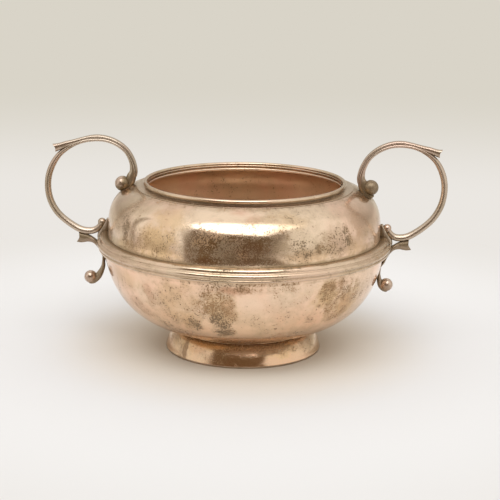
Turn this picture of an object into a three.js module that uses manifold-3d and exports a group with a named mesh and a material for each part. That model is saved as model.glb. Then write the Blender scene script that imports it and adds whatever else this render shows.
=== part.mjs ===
// Two-handled footed bowl in old silver. Its low round body is two raised halves soldered at the
// waist under a reeded girdle. It has a short neck with a wire rim, a spread cushion foot, and two
// upright scroll handles whose ball ends and lower brackets are soldered to the body.
// Millimetres, +Z up. The origin is on the table under the middle of the foot, and the handles
// stand on +X and -X.
import * as THREE from "three";
import { mergeVertices } from "three/addons/utils/BufferGeometryUtils.js";
import Module from "manifold-3d";

// Driving dimensions
const turnSteps = 48; // facets round every turned piece
const wall = 1.0; // thickness of the raised sheet
const solderGap = 0.3; // clearance left for solder between a handle piece and what carries it

// Both halves of the body follow a superellipse: (r / radius)^power + (height / rise)^power = 1
const lowerHalf = { radius: 61.2, midZ: 63.4, rise: 55.3, power: 3.04 };
const upperHalf = { radius: 58.7, midZ: 47.5, rise: 26.6, power: 4.18 };
const seam = { z: 46.5, radius: 60.7, turnInZ: 47.3, shoulderZ: 48.0 };
const girdle = { lowZ: 44.5, topZ: 50.3, crestRadius: 63.5, crestZ: 47.3 };
const mouth = { radius: 41.8, ledgeZ: 71.2, collarRadius: 46.5, collarTopZ: 72.5, rimZ: 73.85 };
const foot = { seatInner: 27.4, seatOuter: 28.6, topZ: 9.1, wireRadius: 29.1, bulge: 33.9, baseZ: 0.8 };

const wire = { width: 3.4, leafWidth: 3.0, steps: 50 };
const loopMiddle = { x: 64.7, z: 70.0 };
const balls = { upper: 3.2, curl: 1.4, tail: 2.9 }; // radii

// The two handles were bent by hand, so each has its own places, as [distance from the axis, z].
// Against the mean loop, its own is moved out by shift, wider by a share grow, and pressed in along
// squeezeAngle by a share squeeze.
const squeezeAngle = THREE.MathUtils.degToRad(55);
const sides = [
  {
    name: "right",
    turn: 0,
    shift: 0.36,
    grow: -0.009,
    squeeze: -0.027,
    upperBallAt: [53.9, 72.0],
    curlBallAt: [61.5, 53.9],
    tailBallAt: [62.0, 29.0],
    scrollReach: -0.5,
    toeProud: 0.7,
    tailBack: [[59.3, 36.9], [59.0, 34.6], [59.2, 32.9], [60.2, 32.0]],
    tailFront: [[61.7, 25.3], [59.9, 25.9], [58.4, 27.9], [57.9, 30.3], [58.2, 32.6]],
  },
  {
    name: "left",
    turn: Math.PI,
    shift: -0.36,
    grow: 0.009,
    squeeze: 0.027,
    upperBallAt: [52.8, 71.4],
    curlBallAt: [61.9, 53.9],
    tailBallAt: [67.2, 29.2],
    scrollReach: 0.5,
    toeProud: 1.1,
    tailBack: [[61.7, 36.9], [62.1, 34.6], [63.1, 32.8], [64.5, 31.5]],
    tailFront: [[66.3, 25.7], [64.2, 26.8], [62.6, 28.7], [61.4, 30.7], [60.6, 33.0]],
  },
];

const colours = {
  body: { color: 0xc2a384, roughness: 0.32, metalness: 1.0 },
  trim: { color: 0xd0b596, roughness: 0.28, metalness: 1.0 },
  handle: { color: 0xb59c80, roughness: 0.3, metalness: 1.0 },
};

function material(finish) {
  return new THREE.MeshStandardMaterial(finish);
}

// Joins shared vertices and turns the faces outward
function closed(geometry) {
  geometry.deleteAttribute("normal");
  geometry.deleteAttribute("uv");
  const merged = mergeVertices(geometry, 1e-5);
  const spot = merged.attributes.position;
  const index = Array.from(merged.index.array);
  const a = new THREE.Vector3();
  const b = new THREE.Vector3();
  const c = new THREE.Vector3();
  const kept = [];
  let volume = 0;
  for (let i = 0; i < index.length; i += 3) {
    const corner = index.slice(i, i + 3);
    if (new Set(corner).size < 3) {
      continue;
    }
    kept.push(...corner);
    a.fromBufferAttribute(spot, corner[0]);
    b.fromBufferAttribute(spot, corner[1]);
    c.fromBufferAttribute(spot, corner[2]);
    volume += a.dot(b.cross(c));
  }
  merged.setIndex(volume < 0 ? kept.reverse() : kept);
  merged.computeVertexNormals();
  return merged;
}

function piece(name, geometry, finish) {
  const mesh = new THREE.Mesh(closed(geometry), material(finish));
  mesh.name = name;
  return mesh;
}

// Turns a profile of [radius, z] points round the Z axis
function turned(profile) {
  const points = profile.map(([r, z]) => new THREE.Vector2(r, z));
  const geometry = new THREE.LatheGeometry(points, turnSteps);
  geometry.rotateX(Math.PI / 2);
  return geometry;
}

// A turned piece whose profile is a loop away from the axis
function turnedRing(profile) {
  return turned([...profile, profile[0]]);
}

// Outside radius of a half at a height
function radiusOn(half, z) {
  const share = Math.abs(z - half.midZ) / half.rise;
  return half.radius * (1 - share ** half.power) ** (1 / half.power);
}

// Height of the outside of the lower half at a radius
function lowerZ(r) {
  const share = r / lowerHalf.radius;
  return lowerHalf.midZ - lowerHalf.rise * (1 - share ** lowerHalf.power) ** (1 / lowerHalf.power);
}

// Points spread evenly by angle along a superellipse quarter, as [radius, height from its middle]
function quarterPoints(half, inset, fromAngle, toAngle, steps) {
  const points = [];
  for (let i = 0; i <= steps; i++) {
    const angle = THREE.MathUtils.lerp(fromAngle, toAngle, i / steps);
    const r = (half.radius - inset) * Math.max(0, Math.cos(angle)) ** (2 / half.power);
    points.push([r, (half.rise - inset) * Math.sin(angle) ** (2 / half.power)]);
  }
  return points;
}

// Lower half: from the middle of the bottom, out and up to the seam, and back down inside
function lowerBowl() {
  const steps = 13;
  const rimAngle = 0.14;
  const seats = [foot.seatInner, foot.seatOuter].map((r) => [r, lowerZ(r)]);
  const outside = quarterPoints(lowerHalf, 0, Math.PI / 2, rimAngle, steps)
    .map(([r, h]) => [r, lowerHalf.midZ - h])
    .filter(([, z]) => z < girdle.lowZ - wall)
    .concat(seats)
    .sort((p, q) => p[0] - q[0]);
  const inside = quarterPoints(lowerHalf, wall, rimAngle, Math.PI / 2, steps)
    .map(([r, h]) => [r, lowerHalf.midZ - h])
    .filter(([, z]) => z < girdle.lowZ - wall);
  return turned([
    ...outside,
    [radiusOn(lowerHalf, girdle.lowZ), girdle.lowZ],
    [seam.radius, seam.z],
    [seam.radius - wall, seam.z],
    ...inside,
  ]);
}

// Upper half: a flange on the seam, the round shoulder, and a flat ledge round the mouth
function upperShoulder() {
  const steps = 10;
  const ledgeAngle = 1.17;
  const startAngle = 0.08;
  const outside = quarterPoints(upperHalf, 0, startAngle, ledgeAngle, steps)
    .map(([r, h]) => [r, upperHalf.midZ + h])
    .filter(([, z]) => z > girdle.topZ + wall && z < mouth.ledgeZ);
  const inside = quarterPoints(upperHalf, wall, ledgeAngle, startAngle, steps)
    .map(([r, h]) => [r, upperHalf.midZ + h])
    .filter(([, z]) => z > girdle.topZ && z < mouth.ledgeZ - wall);
  return turnedRing([
    [seam.radius - wall, seam.z],
    [seam.radius, seam.z],
    [seam.radius, seam.turnInZ],
    [upperHalf.radius, seam.shoulderZ],
    [upperHalf.radius, girdle.topZ],
    ...outside,
    [mouth.collarRadius, mouth.ledgeZ],
    [mouth.radius, mouth.ledgeZ],
    [mouth.radius, mouth.ledgeZ - wall],
    ...inside,
    [upperHalf.radius - wall, seam.shoulderZ - wall / 2],
    [seam.radius - wall, seam.turnInZ - wall / 2],
  ]);
}

// Short concave neck on a thin flange that lies on the ledge of the shoulder
function neckCollar() {
  const r = mouth.radius;
  return turnedRing([
    [r, mouth.ledgeZ],
    [mouth.collarRadius, mouth.ledgeZ],
    [mouth.collarRadius - 0.15, mouth.ledgeZ + 0.25],
    [r + 3.0, mouth.ledgeZ + 0.35],
    [r + 1.5, mouth.ledgeZ + 0.65],
    [r + 1.0, mouth.collarTopZ - 0.35],
    [r + 1.2, mouth.collarTopZ],
    [r, mouth.collarTopZ],
  ]);
}

// Half-round wire that stiffens the mouth
function rimWire() {
  const r = mouth.radius;
  const z = mouth.collarTopZ;
  const rise = mouth.rimZ - z;
  return turnedRing([
    [r, z],
    [r + 1.2, z],
    [r + 1.75, z + 0.35 * rise],
    [r + 1.65, z + 0.7 * rise],
    [r + 1.2, z + 0.93 * rise],
    [r + 0.75, mouth.rimZ],
    [r + 0.3, z + 0.9 * rise],
    [r, z + 0.6 * rise],
  ]);
}

// Reeded wire over the seam: a broad upper reed, the crest, and a small lower reed
function girdleBand() {
  const crest = girdle.crestRadius;
  return turnedRing([
    [radiusOn(lowerHalf, girdle.lowZ), girdle.lowZ],
    [crest - 1.5, girdle.lowZ],
    [crest - 0.7, girdle.lowZ + 0.5],
    [crest - 0.6, girdle.lowZ + 1.2],
    [crest - 0.9, girdle.lowZ + 1.6],
    [crest - 0.3, girdle.crestZ - 0.7],
    [crest, girdle.crestZ],
    [crest - 0.35, girdle.crestZ + 0.7],
    [crest - 1.3, girdle.crestZ + 1.0],
    [crest - 1.25, girdle.crestZ + 1.8],
    [crest - 2.0, girdle.crestZ + 2.5],
    [crest - 3.6, girdle.topZ],
    [upperHalf.radius, girdle.topZ],
    [upperHalf.radius, seam.shoulderZ],
    [seam.radius, seam.turnInZ],
    [seam.radius, seam.z],
  ]);
}

// Round wire between the bowl and the top of the foot
function footNeckWire() {
  return turnedRing([
    [foot.seatInner, foot.topZ],
    [foot.seatOuter, foot.topZ],
    [foot.wireRadius, foot.topZ + 0.25],
    [foot.wireRadius - 0.05, foot.topZ + 0.6],
    [foot.seatOuter, lowerZ(foot.seatOuter)],
    [foot.seatInner, lowerZ(foot.seatInner)],
  ]);
}

// Cushion-shaped spread foot, hollow underneath
function spreadFoot() {
  const outside = [
    [foot.seatOuter, foot.topZ],
    [30.2, 8.75],
    [31.6, 7.95],
    [32.8, 6.4],
    [foot.bulge - 0.25, 4.6],
    [foot.bulge, 3.0],
    [foot.bulge - 0.15, 1.5],
    [foot.bulge - 0.5, foot.baseZ],
  ];
  const inside = [
    [foot.bulge - 0.5 - wall, foot.baseZ],
    [foot.bulge - wall, 3.0],
    [32.7, 4.4],
    [31.9, 5.9],
    [30.9, 7.1],
    [29.8, 7.8],
    [foot.seatInner, foot.topZ - wall],
    [foot.seatInner, foot.topZ],
  ];
  return turnedRing([...outside, ...inside]);
}

// Flat-bottomed wire on which the bowl stands
function footBaseWire() {
  const outer = foot.bulge - 0.25;
  return turnedRing([
    [outer - 1.8, 0],
    [outer - 0.35, 0],
    [outer, 0.25],
    [outer, 0.55],
    [outer - 0.25, foot.baseZ],
    [outer - 1.8, foot.baseZ],
  ]);
}

const wasm = await Module();
wasm.setup();

function toManifold(geometry) {
  const clean = closed(geometry);
  return new wasm.Manifold(
    new wasm.Mesh({
      numProp: 3,
      vertProperties: new Float32Array(clean.attributes.position.array),
      triVerts: new Uint32Array(clean.index.array),
    }),
  );
}

function fromManifold(solid) {
  const { vertProperties, triVerts } = solid.getMesh();
  const geometry = new THREE.BufferGeometry();
  geometry.setAttribute("position", new THREE.Float32BufferAttribute(vertProperties, 3));
  geometry.setIndex(Array.from(triVerts));
  return geometry;
}

// The outside of the whole body, one solder gap larger, as one solid without its hollow
function bodyEnvelope() {
  const gap = solderGap;
  const below = [25, 28, 31, 34, 37, 40, 43].map((z) => [radiusOn(lowerHalf, z) + gap, z]);
  const above = [53, 56, 59, 61.5, 64, 66, 67.8, 69.3, 70.6].map((z) => [
    radiusOn(upperHalf, z) + gap,
    z + gap / 4,
  ]);
  const crest = girdle.crestRadius;
  return turned([
    [0, below[0][1]],
    ...below,
    [radiusOn(lowerHalf, girdle.lowZ) + gap, girdle.lowZ - gap],
    [crest - 1.3, girdle.lowZ - gap],
    [crest - 0.35, girdle.lowZ + 0.4],
    [crest + gap, girdle.crestZ],
    [crest - 0.8, girdle.crestZ + 2.0],
    [crest - 3.4, girdle.topZ + gap],
    [upperHalf.radius + gap, girdle.topZ + gap],
    ...above,
    [mouth.collarRadius, mouth.ledgeZ + 2 * gap],
    [0, mouth.ledgeZ + 2 * gap],
  ]);
}

const envelope = toManifold(bodyEnvelope());

// Cuts away what would run into the body, and leaves room for solder
function clearOfBody(geometry) {
  return fromManifold(toManifold(geometry).subtract(envelope));
}

// Middle line of the mean handle loop in the XZ plane, from its root in the shoulder, over the
// top, down the outside and back under to the small curl above the girdle
const loopPoints = [
  [50.2, 69.3], [49.3, 71.6], [48.7, 74.0], [48.7, 76.5], [49.7, 80.5], [52.2, 84.8], [56.3, 88.0],
  [61.2, 89.8], [66.5, 90.0], [71.7, 89.0], [76.4, 86.7], [80.6, 83.3], [83.4, 78.7], [84.9, 73.6],
  [85.0, 68.2], [83.8, 63.1], [81.2, 58.4], [77.6, 54.7], [73.3, 51.6], [70.2, 50.1], [67.3, 49.7],
  [65.0, 50.4], [63.2, 52.4],
];

// Moves a point of the mean loop to where this side's loop has it
function bent([x, z], { shift, grow, squeeze }) {
  const dx = x - loopMiddle.x;
  const dz = z - loopMiddle.z;
  const cos = Math.cos(2 * squeezeAngle);
  const sin = Math.sin(2 * squeezeAngle);
  return [
    loopMiddle.x + shift + (1 + grow) * dx - squeeze * (cos * dx + sin * dz),
    loopMiddle.z + (1 + grow) * dz - squeeze * (sin * dx - cos * dz),
  ];
}

function loopPathOf(side) {
  const points = loopPoints.map((point) => {
    const [x, z] = bent(point, side);
    return new THREE.Vector3(x, 0, z);
  });
  return new THREE.CatmullRomCurve3(points, false, "centripetal");
}

// Thickness of the loop wire in its own plane, at a share of its length
function loopThickness(share) {
  const stations = [
    [0, 2.7], [0.1, 2.4], [0.2, 1.7], [0.38, 1.7], [0.5, 2.5], [0.85, 2.6], [0.92, 2.5], [1, 1.3],
  ];
  const after = Math.max(1, stations.findIndex(([at]) => at >= share));
  const [fromShare, fromSize] = stations[after - 1];
  const [toShare, toSize] = stations[after];
  return THREE.MathUtils.mapLinear(share, fromShare, toShare, fromSize, toSize);
}

// The point of a loop's middle line at a share of its length, moved outward in its plane
function besideLoop(path, share, outward) {
  const spot = path.getPointAt(share);
  const along = path.getTangentAt(share);
  return new THREE.Vector2(spot.x - along.z * outward, spot.z + along.x * outward);
}

// Wire of oval section with closed ends
function loopWire(side) {
  const path = loopPathOf(side);
  const sectionSides = 8;
  const positions = [];
  const index = [];
  for (let i = 0; i <= wire.steps; i++) {
    const share = i / wire.steps;
    const half = loopThickness(share) / 2;
    for (let k = 0; k < sectionSides; k++) {
      const angle = (k / sectionSides) * 2 * Math.PI;
      const spot = besideLoop(path, share, half * Math.cos(angle));
      positions.push(spot.x, (wire.width / 2) * Math.sin(angle), spot.y);
    }
  }
  for (let i = 0; i < wire.steps; i++) {
    for (let k = 0; k < sectionSides; k++) {
      const near = i * sectionSides + k;
      const beside = i * sectionSides + ((k + 1) % sectionSides);
      index.push(near, beside, near + sectionSides);
      index.push(beside, beside + sectionSides, near + sectionSides);
    }
  }
  const last = wire.steps * sectionSides;
  for (let k = 1; k < sectionSides - 1; k++) {
    index.push(0, k + 1, k, last, last + k, last + k + 1);
  }
  const geometry = new THREE.BufferGeometry();
  geometry.setAttribute("position", new THREE.Float32BufferAttribute(positions, 3));
  geometry.setIndex(index);
  const besideBall = toManifold(ball(balls.upper + solderGap, side.upperBallAt));
  return fromManifold(toManifold(clearOfBody(geometry)).subtract(besideBall));
}

// A flat outline in the XZ plane given a width along Y, its middle on the plane
function flatPiece(points, width) {
  const outline = new THREE.Shape(points);
  const geometry = new THREE.ExtrudeGeometry(outline, { depth: width, bevelEnabled: false });
  geometry.translate(0, 0, -width / 2);
  geometry.rotateX(Math.PI / 2);
  return geometry;
}

function smooth(points, steps) {
  return new THREE.SplineCurve(points.map(([x, z]) => new THREE.Vector2(x, z))).getPoints(steps);
}

// Strip laid on the outside of the loop, which leaves it as a fishtail spur for the thumb
function thumbLeaf(side) {
  const path = loopPathOf(side);
  const startShare = 0.13;
  const liftShare = 0.36;
  const endShare = 0.465;
  const steps = 18;
  const lower = [];
  const upper = [];
  for (let i = 0; i <= steps; i++) {
    const share = THREE.MathUtils.lerp(startShare, endShare, i / steps);
    const seat = loopThickness(share) / 2 + solderGap;
    lower.push(besideLoop(path, share, seat));
    if (share < liftShare) {
      const thickness = THREE.MathUtils.mapLinear(share, startShare, liftShare, 0.3, 0.8);
      upper.push(besideLoop(path, share, seat + thickness));
    }
  }
  const spur = smooth([bent([75.5, 89.4], side), bent([79.1, 88.5], side), [83.2, 88.3]], 5);
  const notch = smooth([[82.0, 86.8], [82.2, 85.2]], 2);
  return flatPiece([...upper, ...spur, ...notch, ...lower.reverse()], wire.leafWidth);
}

// Lower bracket: a fishtail leaf under the loop, an arm that rounds the girdle and runs down the
// bowl to a pointed toe, and a tail that leaves it and wraps its ball
function lowerScroll({ scrollReach, toeProud, tailBack, tailFront, tailBallAt: [ballX, ballZ] }) {
  const under = [
    [73.0, 44.6], [71.2, 45.6], [69.5, 46.0], [67.7, 45.8], [66.1, 45.0], [64.4, 43.5], [62.9, 41.8],
    [61.5, 39.4],
  ].map(([x, z]) => [x + scrollReach, z]);
  const cup = balls.tail + solderGap;
  const aroundBall = [140, 170, 200, 230, 255].map((degrees) => {
    const angle = THREE.MathUtils.degToRad(degrees);
    return new THREE.Vector2(ballX + cup * Math.cos(angle), ballZ + cup * Math.sin(angle));
  });
  const toe = [31.5, 30.3, 29.1].map((z) => [radiusOn(lowerHalf, z) + toeProud, z]);
  const sunk = [[54.5, 28.8], [57, 36], [58, 44]];
  const over = [
    [62.9, 44.4], [64.3, 45.7], [65.9, 47.0], [67.5, 47.9], [69.4, 48.2], [71.0 + scrollReach, 48.6],
  ];
  const notch = [[71.6 + scrollReach, 46.8], [72.3 + scrollReach, 45.7]];
  const outline = [
    ...smooth([...under, ...tailBack], 26),
    ...aroundBall,
    ...smooth(tailFront, 8),
    ...smooth(toe, 3),
    ...sunk.map(([x, z]) => new THREE.Vector2(x, z)),
    ...smooth(over, 10),
    ...smooth(notch, 2),
  ];
  return clearOfBody(flatPiece(outline, wire.leafWidth));
}

// Short strap up the shoulder, from the top of the girdle to beside the small curl
function shoulderStrap() {
  const points = [
    [57.5, 48.5], [60.6, 48.5], [60.3, 51.2], [59.95, 52.6], [59.8, 54.4], [59.2, 55.4], [57.5, 55.6],
  ];
  return clearOfBody(flatPiece(smooth(points, 14), wire.leafWidth));
}

function ball(radius, [x, z]) {
  const geometry = new THREE.SphereGeometry(radius, 16, 10);
  geometry.rotateX(Math.PI / 2);
  geometry.translate(x, 0, z);
  return geometry;
}

function handle(side) {
  const group = new THREE.Group();
  group.rotation.z = side.turn;
  group.add(
    piece(`${side.name}_handle_loop`, loopWire(side), colours.handle),
    piece(`${side.name}_thumb_leaf`, thumbLeaf(side), colours.handle),
    piece(`${side.name}_upper_ball`, clearOfBody(ball(balls.upper, side.upperBallAt)), colours.handle),
    piece(`${side.name}_curl_ball`, ball(balls.curl, side.curlBallAt), colours.handle),
    piece(`${side.name}_shoulder_strap`, shoulderStrap(), colours.handle),
    piece(`${side.name}_lower_scroll`, lowerScroll(side), colours.handle),
    piece(`${side.name}_tail_ball`, ball(balls.tail, side.tailBallAt), colours.handle),
  );
  return group;
}

const bowl = new THREE.Group();
bowl.add(
  piece("lower_bowl", lowerBowl(), colours.body),
  piece("upper_shoulder", upperShoulder(), colours.body),
  piece("neck_collar", neckCollar(), colours.trim),
  piece("rim_wire", rimWire(), colours.trim),
  piece("girdle_band", girdleBand(), colours.trim),
  piece("foot_neck_wire", footNeckWire(), colours.trim),
  piece("spread_foot", spreadFoot(), colours.body),
  piece("foot_base_wire", footBaseWire(), colours.trim),
  ...sides.map(handle),
);

export default bowl;
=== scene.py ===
import math

import bmesh
import bpy
from mathutils import Matrix, Vector


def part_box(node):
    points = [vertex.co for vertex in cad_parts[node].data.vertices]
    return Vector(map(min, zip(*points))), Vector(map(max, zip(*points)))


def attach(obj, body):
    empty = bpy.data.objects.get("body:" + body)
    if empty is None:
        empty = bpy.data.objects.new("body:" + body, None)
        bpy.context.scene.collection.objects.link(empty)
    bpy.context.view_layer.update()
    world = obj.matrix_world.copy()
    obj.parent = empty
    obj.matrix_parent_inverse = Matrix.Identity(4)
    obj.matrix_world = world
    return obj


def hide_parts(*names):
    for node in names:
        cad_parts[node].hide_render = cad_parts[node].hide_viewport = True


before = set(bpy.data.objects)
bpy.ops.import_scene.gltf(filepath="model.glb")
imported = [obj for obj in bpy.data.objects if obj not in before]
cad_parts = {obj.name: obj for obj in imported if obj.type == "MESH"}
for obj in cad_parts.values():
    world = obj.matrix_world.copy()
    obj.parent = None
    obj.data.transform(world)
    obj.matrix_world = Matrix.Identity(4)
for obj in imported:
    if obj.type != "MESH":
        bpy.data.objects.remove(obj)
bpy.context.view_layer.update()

mm = 0.001               # every size below is in millimetres until a mesh is made


def nodeBox(node):
    low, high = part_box(node)
    return [value / mm for value in low], [value / mm for value in high]


def newObject(name, data):
    made = bpy.data.objects.new(name, data)
    bpy.context.scene.collection.objects.link(made)
    return made


# Camera, as fitted to the outlines of the bowl

cameraValues = {
    "place": (30.7, -585.7, 187.6),
    "turn": 2.75,        # degrees to the left of straight ahead
    "downTilt": 13.86,
    "roll": 0.77,
    "lens": 100.2,
    "sensor": 36.0,
}


def makeCamera(values):
    data = bpy.data.cameras.new("photoCamera")
    data.lens = values["lens"]
    data.sensor_width = values["sensor"]
    data.clip_start = 0.01
    camera = newObject("photoCamera", data)
    turn = Matrix.Rotation(math.radians(values["turn"]), 4, "Z")
    tilt = Matrix.Rotation(math.radians(90 - values["downTilt"]), 4, "X")
    roll = Matrix.Rotation(math.radians(values["roll"]), 4, "Z")
    camera.matrix_world = Matrix.Translation(Vector(values["place"]) * mm) @ turn @ tilt @ roll
    bpy.context.scene.camera = camera


makeCamera(cameraValues)
print("camera placed")


# Small helpers for node trees

class NodeDesk:
    def __init__(self, tree):
        self.tree = tree
        self.count = 0

    def feed(self, socket, value):
        if isinstance(value, bpy.types.NodeSocket):
            self.tree.links.new(value, socket)
        elif value is not None:
            socket.default_value = value

    def add(self, kind, settings=None, **inputs):
        node = self.tree.nodes.new(kind)
        node.location = (190 * (self.count % 12), -230 * (self.count // 12))
        self.count += 1
        for name, value in (settings or {}).items():
            setattr(node, name, value)
        for name, value in inputs.items():
            self.feed(node.inputs[name.replace("_", " ")], value)
        return node

    def feedAll(self, sockets, values):
        for socket, value in zip(sockets, values):
            self.feed(socket, value)

    def math(self, operation, *values, clamp=False):
        node = self.add("ShaderNodeMath", {"operation": operation, "use_clamp": clamp})
        self.feedAll(node.inputs, values)
        return node.outputs[0]

    def plus(self, first, second, clamp=False):
        return self.math("ADD", first, second, clamp=clamp)

    def minus(self, first, second):
        return self.math("SUBTRACT", first, second)

    def times(self, first, second):
        return self.math("MULTIPLY", first, second)

    def over(self, first, second):
        return self.math("DIVIDE", first, second)

    def most(self, first, second):
        return self.math("MAXIMUM", first, second)

    # base + value * factor
    def added(self, base, value, factor, clamp=False):
        return self.plus(base, self.times(value, factor), clamp)

    def vectorMath(self, operation, *values):
        node = self.add("ShaderNodeVectorMath", {"operation": operation})
        self.feedAll(node.inputs, values)
        return node

    def vector(self, operation, *values):
        return self.vectorMath(operation, *values).outputs[0]

    def length(self, vector):
        return self.vectorMath("LENGTH", vector).outputs["Value"]

    def dot(self, first, second):
        return self.vectorMath("DOT_PRODUCT", first, second).outputs["Value"]

    def scaled(self, vector, factor):
        node = self.vectorMath("SCALE", vector)
        self.feed(node.inputs["Scale"], factor)
        return node.outputs[0]

    def coordinate(self, kind):
        return self.add("ShaderNodeTexCoord").outputs[kind]

    def point(self, x=0.0, y=0.0, z=0.0):
        return self.add("ShaderNodeCombineXYZ", X=x, Y=y, Z=z).outputs[0]

    def parts(self, vector):
        return self.add("ShaderNodeSeparateXYZ", Vector=vector).outputs

    # Smooth step from one value to another
    def ramp(self, value, low, high, fromSide=0.0, toSide=1.0):
        return self.add("ShaderNodeMapRange", {"interpolation_type": "SMOOTHSTEP"}, Value=value,
                        From_Min=low, From_Max=high, To_Min=fromSide, To_Max=toSide).outputs[0]

    def noise(self, vector, scale, detail=2.0, roughness=0.5):
        return self.add("ShaderNodeTexNoise", Vector=vector, Scale=scale, Detail=detail,
                        Roughness=roughness).outputs[0]

    def mix(self, factor, first, second):
        node = self.add("ShaderNodeMix", {"data_type": "RGBA"})
        self.feedAll([node.inputs[0], node.inputs[6], node.inputs[7]], [factor, first, second])
        return node.outputs[2]


# The desk of a material or world whose own nodes are gone
def clearedDesk(owner):
    owner.use_nodes = True
    owner.node_tree.nodes.clear()
    return NodeDesk(owner.node_tree)


def newTree(name, kind, inputs, outputs):
    tree = bpy.data.node_groups.new(name, kind)
    for label, socketType, value in inputs:
        socket = tree.interface.new_socket(label, in_out="INPUT", socket_type=socketType)
        if value is not None:
            socket.default_value = value
    for label, socketType in outputs:
        tree.interface.new_socket(label, in_out="OUTPUT", socket_type=socketType)
    desk = NodeDesk(tree)
    return tree, desk, desk.add("NodeGroupInput").outputs, desk.add("NodeGroupOutput")


def shapeTree(name, inputs):
    return newTree(name, "GeometryNodeTree", [
        ("Guide", "NodeSocketGeometry", None),
        *inputs,
        ("Turn", "NodeSocketFloat", 0.0),
        ("Finish", "NodeSocketMaterial", None),
    ], [("Piece", "NodeSocketGeometry")])


# Turns the shape about Z, closes its seams and poles and dresses it
def finishTree(desk, shape, given, groupOut):
    closeness = 0.002 * mm
    stood = desk.add("GeometryNodeTransform", Geometry=shape, Rotation=desk.point(z=given["Turn"]))
    joined = desk.add("GeometryNodeMergeByDistance", Geometry=stood.outputs[0], Distance=closeness)
    smoothed = desk.add("GeometryNodeSetShadeSmooth", Geometry=joined.outputs[0])
    realized = desk.add("GeometryNodeRealizeInstances", Geometry=smoothed.outputs[0])
    dressed = desk.add("GeometryNodeSetMaterial", Geometry=realized.outputs[0], Material=given["Finish"])
    desk.feed(groupOut.inputs[0], dressed.outputs[0])


# A grid to be bent into shape, and the row and column of each of its points
def sheet(desk, columns, rows):
    grid = desk.add("GeometryNodeMeshGrid", Vertices_X=columns, Vertices_Y=rows).outputs[0]
    index = desk.add("GeometryNodeInputIndex").outputs[0]
    return grid, desk.math("MODULO", index, rows), desk.math("FLOOR", desk.over(index, rows))


# Turns a profile round the Z axis, as a lathe does
def makeLatheTree():
    tree, desk, given, groupOut = shapeTree("turnedPiece", [("Segments", "NodeSocketInt", 256)])
    profile = given["Guide"]
    rows = desk.add("GeometryNodeAttributeDomainSize", {"component": "MESH"}, Geometry=profile).outputs[0]
    grid, row, column = sheet(desk, desk.plus(given["Segments"], 1), rows)
    place = desk.add("GeometryNodeInputPosition").outputs[0]
    spot = desk.add("GeometryNodeSampleIndex", {"data_type": "FLOAT_VECTOR", "domain": "POINT"},
                    Geometry=profile, Value=place, Index=row).outputs[0]
    radius, _, height = desk.parts(spot)
    angle = desk.times(desk.over(column, given["Segments"]), 2 * math.pi)
    turned = desk.point(desk.times(radius, desk.math("COSINE", angle)),
                        desk.times(radius, desk.math("SINE", angle)), height)
    shaped = desk.add("GeometryNodeSetPosition", Geometry=grid, Position=turned)
    finishTree(desk, shaped.outputs[0], given, groupOut)
    return tree


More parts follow.
